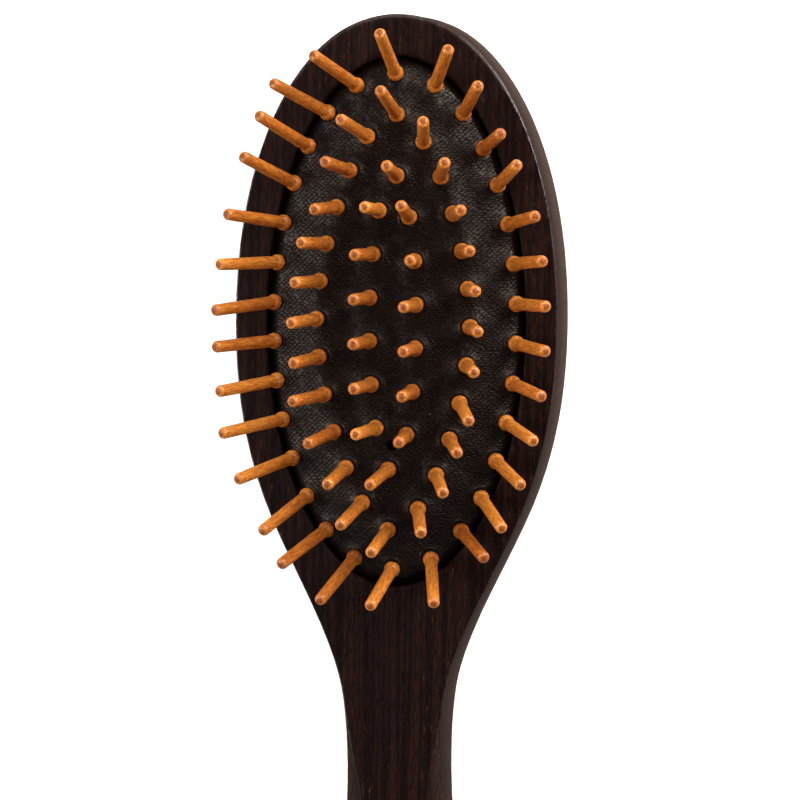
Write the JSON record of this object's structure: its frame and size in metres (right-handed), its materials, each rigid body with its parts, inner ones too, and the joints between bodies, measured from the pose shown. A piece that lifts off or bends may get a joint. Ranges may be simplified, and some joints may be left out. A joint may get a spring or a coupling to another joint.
{
  "type": "cushioned wooden-pin hair brush",
  "caption": "Oval brush with a wooden head and handle in one piece, an air-cushion rubber membrane and turned wooden pins that tilt in it.",
  "frame": {"origin": "on the flat back of the brush, under the middle of the head's cushion recess", "axes": "+Z out of the brush's face along the pins, +Y from the middle of the head to its top, the handle along -Y, +X to the right seen from the face"},
  "size_m": [0.0619, 0.2219, 0.0392],
  "materials": {
    "dark_wood": "dark brown open-grained hardwood, thin satin oil finish",
    "black_rubber": "black-brown rubber with a fine woven emboss",
    "pin_wood": "warm orange-brown turned wood, satin"
  },
  "bodies": {
    "root": {"handle_body": "dark_wood"},
    "cushion": {"cushion_membrane": "black_rubber"},
    "pin_outer_01": {"pin_outer_01": "pin_wood"},
    "pin_outer_02": {"pin_outer_02": "pin_wood"},
    "pin_outer_03": {"pin_outer_03": "pin_wood"},
    "pin_outer_04": {"pin_outer_04": "pin_wood"},
    "pin_outer_05": {"pin_outer_05": "pin_wood"},
    "pin_outer_06": {"pin_outer_06": "pin_wood"},
    "pin_outer_07": {"pin_outer_07": "pin_wood"},
    "pin_outer_08": {"pin_outer_08": "pin_wood"},
    "pin_outer_09": {"pin_outer_09": "pin_wood"},
    "pin_outer_10": {"pin_outer_10": "pin_wood"},
    "pin_outer_11": {"pin_outer_11": "pin_wood"},
    "pin_outer_12": {"pin_outer_12": "pin_wood"},
    "pin_outer_13": {"pin_outer_13": "pin_wood"},
    "pin_outer_14": {"pin_outer_14": "pin_wood"},
    "pin_outer_15": {"pin_outer_15": "pin_wood"},
    "pin_outer_16": {"pin_outer_16": "pin_wood"},
    "pin_outer_17": {"pin_outer_17": "pin_wood"},
    "pin_outer_18": {"pin_outer_18": "pin_wood"},
    "pin_outer_19": {"pin_outer_19": "pin_wood"},
    "pin_outer_20": {"pin_outer_20": "pin_wood"},
    "pin_outer_21": {"pin_outer_21": "pin_wood"},
    "pin_outer_22": {"pin_outer_22": "pin_wood"},
    "pin_outer_23": {"pin_outer_23": "pin_wood"},
    "pin_outer_24": {"pin_outer_24": "pin_wood"},
    "pin_outer_25": {"pin_outer_25": "pin_wood"},
    "pin_outer_26": {"pin_outer_26": "pin_wood"},
    "pin_outer_27": {"pin_outer_27": "pin_wood"},
    "pin_outer_28": {"pin_outer_28": "pin_wood"},
    "pin_outer_29": {"pin_outer_29": "pin_wood"},
    "pin_outer_30": {"pin_outer_30": "pin_wood"},
    "pin_middle_01": {"pin_middle_01": "pin_wood"},
    "pin_middle_02": {"pin_middle_02": "pin_wood"},
    "pin_middle_03": {"pin_middle_03": "pin_wood"},
    "pin_middle_04": {"pin_middle_04": "pin_wood"},
    "pin_middle_05": {"pin_middle_05": "pin_wood"},
    "pin_middle_08": {"pin_middle_08": "pin_wood"},
    "pin_middle_09": {"pin_middle_09": "pin_wood"},
    "pin_middle_10": {"pin_middle_10": "pin_wood"},
    "pin_middle_11": {"pin_middle_11": "pin_wood"},
    "pin_middle_12": {"pin_middle_12": "pin_wood"},
    "pin_middle_13": {"pin_middle_13": "pin_wood"},
    "pin_middle_16": {"pin_middle_16": "pin_wood"},
    "pin_middle_17": {"pin_middle_17": "pin_wood"},
    "pin_middle_18": {"pin_middle_18": "pin_wood"},
    "pin_middle_19": {"pin_middle_19": "pin_wood"},
    "pin_middle_20": {"pin_middle_20": "pin_wood"},
    "pin_middle_21": {"pin_middle_21": "pin_wood"},
    "pin_middle_24": {"pin_middle_24": "pin_wood"},
    "pins_middle_06_07": {"pins_middle_06_07": "pin_wood"},
    "pins_middle_14_15": {"pins_middle_14_15": "pin_wood"},
    "pins_middle_22_23": {"pins_middle_22_23": "pin_wood"},
    "pins_inner_01_02": {"pins_inner_01_02": "pin_wood"},
    "pins_inner_03_04": {"pins_inner_03_04": "pin_wood"},
    "pins_inner_05_06": {"pins_inner_05_06": "pin_wood"},
    "pins_inner_07_08": {"pins_inner_07_08": "pin_wood"},
    "pins_inner_09_10": {"pins_inner_09_10": "pin_wood"},
    "pins_inner_11_12": {"pins_inner_11_12": "pin_wood"},
    "pins_inner_13_14": {"pins_inner_13_14": "pin_wood"}
  },
  "joints": [
    {"name": "cushion_press", "type": "slide", "parent": "root", "child": "cushion", "axis": [0, 0, -1], "range_m": [0, 0.0018], "stiffness_N_per_m": 2500, "deforming": ["cushion_membrane"]},
    {"name": "tilt_outer_01", "type": "hinge", "parent": "root", "child": "pin_outer_01", "pos_m": [0, 0.0449, 0.01819], "axis": [-1, 0, 0], "range_deg": [-10, 5], "stiffness_Nm_per_rad": 0.02, "deforming": ["cushion_membrane"]},
    {"name": "tilt_outer_02", "type": "hinge", "parent": "root", "child": "pin_outer_02", "pos_m": [0.00679, 0.04281, 0.01796], "axis": [-0.8848, 0.466, 0], "range_deg": [-10, 5], "stiffness_Nm_per_rad": 0.02, "deforming": ["cushion_membrane"]},
    {"name": "tilt_outer_03", "type": "hinge", "parent": "root", "child": "pin_outer_03", "pos_m": [0.01197, 0.03785, 0.01764], "axis": [-0.6899, 0.7239, 0], "range_deg": [-10, 5], "stiffness_Nm_per_rad": 0.02, "deforming": ["cushion_membrane"]},
    {"name": "tilt_outer_04", "type": "hinge", "parent": "root", "child": "pin_outer_04", "pos_m": [0.01566, 0.03167, 0.01743], "axis": [-0.5204, 0.8539, 0], "range_deg": [-10, 5], "stiffness_Nm_per_rad": 0.02, "deforming": ["cushion_membrane"]},
    {"name": "tilt_outer_05", "type": "hinge", "parent": "root", "child": "pin_outer_05", "pos_m": [0.01828, 0.02494, 0.01731], "axis": [-0.3802, 0.9249, 0], "range_deg": [-10, 5], "stiffness_Nm_per_rad": 0.02, "deforming": ["cushion_membrane"]},
    {"name": "tilt_outer_06", "type": "hinge", "parent": "root", "child": "pin_outer_06", "pos_m": [0.02008, 0.01796, 0.01725], "axis": [-0.2603, 0.9655, 0], "range_deg": [-10, 5], "stiffness_Nm_per_rad": 0.02, "deforming": ["cushion_membrane"]},
    {"name": "tilt_outer_07", "type": "hinge", "parent": "root", "child": "pin_outer_07", "pos_m": [0.0212, 0.01085, 0.01723], "axis": [-0.1525, 0.9883, 0], "range_deg": [-10, 5], "stiffness_Nm_per_rad": 0.02, "deforming": ["cushion_membrane"]},
    {"name": "tilt_outer_08", "type": "hinge", "parent": "root", "child": "pin_outer_08", "pos_m": [0.02174, 0.00363, 0.01724], "axis": [-0.0503, 0.9987, 0], "range_deg": [-10, 5], "stiffness_Nm_per_rad": 0.02, "deforming": ["cushion_membrane"]},
    {"name": "tilt_outer_09", "type": "hinge", "parent": "root", "child": "pin_outer_09", "pos_m": [0.02174, -0.00356, 0.01724], "axis": [0.0493, 0.9988, 0], "range_deg": [-10, 5], "stiffness_Nm_per_rad": 0.02, "deforming": ["cushion_membrane"]},
    {"name": "tilt_outer_10", "type": "hinge", "parent": "root", "child": "pin_outer_10", "pos_m": [0.02121, -0.01078, 0.01723], "axis": [0.1515, 0.9885, 0], "range_deg": [-10, 5], "stiffness_Nm_per_rad": 0.02, "deforming": ["cushion_membrane"]},
    {"name": "tilt_outer_11", "type": "hinge", "parent": "root", "child": "pin_outer_11", "pos_m": [0.02009, -0.0179, 0.01725], "axis": [0.2593, 0.9658, 0], "range_deg": [-10, 5], "stiffness_Nm_per_rad": 0.02, "deforming": ["cushion_membrane"]},
    {"name": "tilt_outer_12", "type": "hinge", "parent": "root", "child": "pin_outer_12", "pos_m": [0.0183, -0.02488, 0.01731], "axis": [0.3791, 0.9253, 0], "range_deg": [-10, 5], "stiffness_Nm_per_rad": 0.02, "deforming": ["cushion_membrane"]},
    {"name": "tilt_outer_13", "type": "hinge", "parent": "root", "child": "pin_outer_13", "pos_m": [0.01569, -0.03162, 0.01743], "axis": [0.5192, 0.8547, 0], "range_deg": [-10, 5], "stiffness_Nm_per_rad": 0.02, "deforming": ["cushion_membrane"]},
    {"name": "tilt_outer_14", "type": "hinge", "parent": "root", "child": "pin_outer_14", "pos_m": [0.012, -0.03781, 0.01764], "axis": [0.6887, 0.725, 0], "range_deg": [-10, 5], "stiffness_Nm_per_rad": 0.02, "deforming": ["cushion_membrane"]},
    {"name": "tilt_outer_15", "type": "hinge", "parent": "root", "child": "pin_outer_15", "pos_m": [0.00683, -0.04279, 0.01795], "axis": [0.8837, 0.468, 0], "range_deg": [-10, 5], "stiffness_Nm_per_rad": 0.02, "deforming": ["cushion_membrane"]},
    {"name": "tilt_outer_16", "type": "hinge", "parent": "root", "child": "pin_outer_16", "pos_m": [0, -0.0449, 0.01819], "axis": [1, 0, 0], "range_deg": [-10, 5], "stiffness_Nm_per_rad": 0.02, "deforming": ["cushion_membrane"]},
    {"name": "tilt_outer_17", "type": "hinge", "parent": "root", "child": "pin_outer_17", "pos_m": [-0.00679, -0.04281, 0.01796], "axis": [0.8848, -0.466, 0], "range_deg": [-10, 5], "stiffness_Nm_per_rad": 0.02, "deforming": ["cushion_membrane"]},
    {"name": "tilt_outer_18", "type": "hinge", "parent": "root", "child": "pin_outer_18", "pos_m": [-0.01197, -0.03785, 0.01764], "axis": [0.6899, -0.7239, 0], "range_deg": [-10, 5], "stiffness_Nm_per_rad": 0.02, "deforming": ["cushion_membrane"]},
    {"name": "tilt_outer_19", "type": "hinge", "parent": "root", "child": "pin_outer_19", "pos_m": [-0.01566, -0.03167, 0.01743], "axis": [0.5204, -0.8539, 0], "range_deg": [-10, 5], "stiffness_Nm_per_rad": 0.02, "deforming": ["cushion_membrane"]},
    {"name": "tilt_outer_20", "type": "hinge", "parent": "root", "child": "pin_outer_20", "pos_m": [-0.01828, -0.02494, 0.01731], "axis": [0.3802, -0.9249, 0], "range_deg": [-10, 5], "stiffness_Nm_per_rad": 0.02, "deforming": ["cushion_membrane"]},
    {"name": "tilt_outer_21", "type": "hinge", "parent": "root", "child": "pin_outer_21", "pos_m": [-0.02008, -0.01796, 0.01725], "axis": [0.2603, -0.9655, 0], "range_deg": [-10, 5], "stiffness_Nm_per_rad": 0.02, "deforming": ["cushion_membrane"]},
    {"name": "tilt_outer_22", "type": "hinge", "parent": "root", "child": "pin_outer_22", "pos_m": [-0.0212, -0.01085, 0.01723], "axis": [0.1525, -0.9883, 0], "range_deg": [-10, 5], "stiffness_Nm_per_rad": 0.02, "deforming": ["cushion_membrane"]},
    {"name": "tilt_outer_23", "type": "hinge", "parent": "root", "child": "pin_outer_23", "pos_m": [-0.02174, -0.00363, 0.01724], "axis": [0.0503, -0.9987, 0], "range_deg": [-10, 5], "stiffness_Nm_per_rad": 0.02, "deforming": ["cushion_membrane"]},
    {"name": "tilt_outer_24", "type": "hinge", "parent": "root", "child": "pin_outer_24", "pos_m": [-0.02174, 0.00356, 0.01724], "axis": [-0.0493, -0.9988, 0], "range_deg": [-10, 5], "stiffness_Nm_per_rad": 0.02, "deforming": ["cushion_membrane"]},
    {"name": "tilt_outer_25", "type": "hinge", "parent": "root", "child": "pin_outer_25", "pos_m": [-0.02121, 0.01078, 0.01723], "axis": [-0.1515, -0.9885, 0], "range_deg": [-10, 5], "stiffness_Nm_per_rad": 0.02, "deforming": ["cushion_membrane"]},
    {"name": "tilt_outer_26", "type": "hinge", "parent": "root", "child": "pin_outer_26", "pos_m": [-0.02009, 0.0179, 0.01725], "axis": [-0.2593, -0.9658, 0], "range_deg": [-10, 5], "stiffness_Nm_per_rad": 0.02, "deforming": ["cushion_membrane"]},
    {"name": "tilt_outer_27", "type": "hinge", "parent": "root", "child": "pin_outer_27", "pos_m": [-0.0183, 0.02488, 0.01731], "axis": [-0.3791, -0.9253, 0], "range_deg": [-10, 5], "stiffness_Nm_per_rad": 0.02, "deforming": ["cushion_membrane"]},
    {"name": "tilt_outer_28", "type": "hinge", "parent": "root", "child": "pin_outer_28", "pos_m": [-0.01569, 0.03162, 0.01743], "axis": [-0.5192, -0.8547, 0], "range_deg": [-10, 5], "stiffness_Nm_per_rad": 0.02, "deforming": ["cushion_membrane"]},
    {"name": "tilt_outer_29", "type": "hinge", "parent": "root", "child": "pin_outer_29", "pos_m": [-0.012, 0.03781, 0.01764], "axis": [-0.6887, -0.725, 0], "range_deg": [-10, 5], "stiffness_Nm_per_rad": 0.02, "deforming": ["cushion_membrane"]},
    {"name": "tilt_outer_30", "type": "hinge", "parent": "root", "child": "pin_outer_30", "pos_m": [-0.00683, 0.04279, 0.01795], "axis": [-0.8837, -0.468, 0], "range_deg": [-10, 5], "stiffness_Nm_per_rad": 0.02, "deforming": ["cushion_membrane"]},
    {"name": "tilt_middle_01", "type": "hinge", "parent": "cushion", "child": "pin_middle_01", "pos_m": [0.00056, 0.03767, 0.02022], "axis": [-0.997, 0.0771, 0], "range_deg": [-10, 10], "stiffness_Nm_per_rad": 0.02, "deforming": ["cushion_membrane"]},
    {"name": "tilt_middle_02", "type": "hinge", "parent": "cushion", "child": "pin_middle_02", "pos_m": [0.0053, 0.03275, 0.02033], "axis": [-0.765, 0.644, 0], "range_deg": [-10, 10], "stiffness_Nm_per_rad": 0.02, "deforming": ["cushion_membrane"]},
    {"name": "tilt_middle_03", "type": "hinge", "parent": "cushion", "child": "pin_middle_03", "pos_m": [0.0084, 0.02651, 0.02031], "axis": [-0.5186, 0.855, 0], "range_deg": [-10, 10], "stiffness_Nm_per_rad": 0.02, "deforming": ["cushion_membrane"]},
    {"name": "tilt_middle_04", "type": "hinge", "parent": "cushion", "child": "pin_middle_04", "pos_m": [0.01067, 0.01998, 0.02026], "axis": [-0.3388, 0.9409, 0], "range_deg": [-10, 10], "stiffness_Nm_per_rad": 0.02, "deforming": ["cushion_membrane"]},
    {"name": "tilt_middle_05", "type": "hinge", "parent": "cushion", "child": "pin_middle_05", "pos_m": [0.01236, 0.01323, 0.0202], "axis": [-0.2015, 0.9795, 0], "range_deg": [-10, 10], "stiffness_Nm_per_rad": 0.02, "deforming": ["cushion_membrane"]},
    {"name": "tilt_middle_08", "type": "hinge", "parent": "cushion", "child": "pin_middle_08", "pos_m": [0.01336, -0.00751, 0.02014], "axis": [0.1074, 0.9942, 0], "range_deg": [-10, 10], "stiffness_Nm_per_rad": 0.02, "deforming": ["cushion_membrane"]},
    {"name": "tilt_middle_09", "type": "hinge", "parent": "cushion", "child": "pin_middle_09", "pos_m": [0.01213, -0.01431, 0.02021], "axis": [0.2213, 0.9752, 0], "range_deg": [-10, 10], "stiffness_Nm_per_rad": 0.02, "deforming": ["cushion_membrane"]},
    {"name": "tilt_middle_10", "type": "hinge", "parent": "cushion", "child": "pin_middle_10", "pos_m": [0.01034, -0.02107, 0.02027], "axis": [0.3647, 0.9311, 0], "range_deg": [-10, 10], "stiffness_Nm_per_rad": 0.02, "deforming": ["cushion_membrane"]},
    {"name": "tilt_middle_11", "type": "hinge", "parent": "cushion", "child": "pin_middle_11", "pos_m": [0.00795, -0.02757, 0.02031], "axis": [0.5546, 0.8321, 0], "range_deg": [-10, 10], "stiffness_Nm_per_rad": 0.02, "deforming": ["cushion_membrane"]},
    {"name": "tilt_middle_12", "type": "hinge", "parent": "cushion", "child": "pin_middle_12", "pos_m": [0.00468, -0.03371, 0.02032], "axis": [0.8109, 0.5852, 0], "range_deg": [-10, 10], "stiffness_Nm_per_rad": 0.02, "deforming": ["cushion_membrane"]},
    {"name": "tilt_middle_13", "type": "hinge", "parent": "cushion", "child": "pin_middle_13", "pos_m": [-0.00056, -0.03767, 0.02022], "axis": [0.997, -0.0771, 0], "range_deg": [-10, 10], "stiffness_Nm_per_rad": 0.02, "deforming": ["cushion_membrane"]},
    {"name": "tilt_middle_16", "type": "hinge", "parent": "cushion", "child": "pin_middle_16", "pos_m": [-0.01067, -0.01998, 0.02026], "axis": [0.3388, -0.9409, 0], "range_deg": [-10, 10], "stiffness_Nm_per_rad": 0.02, "deforming": ["cushion_membrane"]},
    {"name": "tilt_middle_17", "type": "hinge", "parent": "cushion", "child": "pin_middle_17", "pos_m": [-0.01236, -0.01323, 0.0202], "axis": [0.2015, -0.9795, 0], "range_deg": [-10, 10], "stiffness_Nm_per_rad": 0.02, "deforming": ["cushion_membrane"]},
    {"name": "tilt_middle_18", "type": "hinge", "parent": "cushion", "child": "pin_middle_18", "pos_m": [-0.01351, -0.00637, 0.02013], "axis": [0.0903, -0.9959, 0], "range_deg": [-10, 10], "stiffness_Nm_per_rad": 0.02, "deforming": ["cushion_membrane"]},
    {"name": "tilt_middle_19", "type": "hinge", "parent": "cushion", "child": "pin_middle_19", "pos_m": [-0.01399, 0.00056, 0.02009], "axis": [-0.0077, -1, 0], "range_deg": [-10, 10], "stiffness_Nm_per_rad": 0.02, "deforming": ["cushion_membrane"]},
    {"name": "tilt_middle_20", "type": "hinge", "parent": "cushion", "child": "pin_middle_20", "pos_m": [-0.01336, 0.00751, 0.02014], "axis": [-0.1074, -0.9942, 0], "range_deg": [-10, 10], "stiffness_Nm_per_rad": 0.02, "deforming": ["cushion_membrane"]},
    {"name": "tilt_middle_21", "type": "hinge", "parent": "cushion", "child": "pin_middle_21", "pos_m": [-0.01213, 0.01431, 0.02021], "axis": [-0.2213, -0.9752, 0], "range_deg": [-10, 10], "stiffness_Nm_per_rad": 0.02, "deforming": ["cushion_membrane"]},
    {"name": "tilt_middle_24", "type": "hinge", "parent": "cushion", "child": "pin_middle_24", "pos_m": [-0.00468, 0.03371, 0.02032], "axis": [-0.8109, -0.5852, 0], "range_deg": [-10, 10], "stiffness_Nm_per_rad": 0.02, "deforming": ["cushion_membrane"]},
    {"name": "tilt_middle_06_07", "type": "hinge", "parent": "cushion", "child": "pins_middle_06_07", "pos_m": [0.01375, 0.00291, 0.02011], "axis": [-0.0689, 0.9976, 0.0059], "range_deg": [-10, 10], "stiffness_Nm_per_rad": 0.02, "deforming": ["cushion_membrane"]},
    {"name": "tilt_middle_14_15", "type": "hinge", "parent": "cushion", "child": "pins_middle_14_15", "pos_m": [-0.00685, -0.02963, 0.02032], "axis": [0.4449, -0.8956, 0.0027], "range_deg": [-10, 10], "stiffness_Nm_per_rad": 0.02, "deforming": ["cushion_membrane"]},
    {"name": "tilt_middle_22_23", "type": "hinge", "parent": "cushion", "child": "pins_middle_22_23", "pos_m": [-0.00915, 0.02432, 0.02029], "axis": [-0.3444, -0.9388, -0.0068], "range_deg": [-10, 10], "stiffness_Nm_per_rad": 0.02, "deforming": ["cushion_membrane"]},
    {"name": "tilt_inner_01_02", "type": "hinge", "parent": "cushion", "child": "pins_inner_01_02", "pos_m": [0.00169, 0.02294, 0.02055], "axis": [-0.2952, 0.9554, 0.0002], "range_deg": [-5, 10], "stiffness_Nm_per_rad": 0.02, "deforming": ["cushion_membrane"]},
    {"name": "tilt_inner_03_04", "type": "hinge", "parent": "cushion", "child": "pins_inner_03_04", "pos_m": [0.00403, 0.00733, 0.02055], "axis": [-0.0551, 0.9985, 0], "range_deg": [-5, 10], "stiffness_Nm_per_rad": 0.02, "deforming": ["cushion_membrane"]},
    {"name": "tilt_inner_05_06", "type": "hinge", "parent": "cushion", "child": "pins_inner_05_06", "pos_m": [0.00396, -0.00855, 0.02055], "axis": [0.0639, 0.998, 0], "range_deg": [-5, 10], "stiffness_Nm_per_rad": 0.02, "deforming": ["cushion_membrane"]},
    {"name": "tilt_inner_07_08", "type": "hinge", "parent": "cushion", "child": "pins_inner_07_08", "pos_m": [0.00105, -0.02354, 0.02055], "axis": [0.4502, 0.8929, -0.0002], "range_deg": [-5, 10], "stiffness_Nm_per_rad": 0.02, "deforming": ["cushion_membrane"]},
    {"name": "tilt_inner_09_10", "type": "hinge", "parent": "cushion", "child": "pins_inner_09_10", "pos_m": [-0.00333, -0.01524, 0.02055], "axis": [0.1206, -0.9927, 0.0001], "range_deg": [-5, 10], "stiffness_Nm_per_rad": 0.02, "deforming": ["cushion_membrane"]},
    {"name": "tilt_inner_11_12", "type": "hinge", "parent": "cushion", "child": "pins_inner_11_12", "pos_m": [-0.00423, 0.00061, 0.02055], "axis": [-0.0048, -1, 0], "range_deg": [-5, 10], "stiffness_Nm_per_rad": 0.02, "deforming": ["cushion_membrane"]},
    {"name": "tilt_inner_13_14", "type": "hinge", "parent": "cushion", "child": "pins_inner_13_14", "pos_m": [-0.00317, 0.01646, 0.02055], "axis": [-0.1342, -0.991, -0.0001], "range_deg": [-5, 10], "stiffness_Nm_per_rad": 0.02, "deforming": ["cushion_membrane"]}
  ]
}
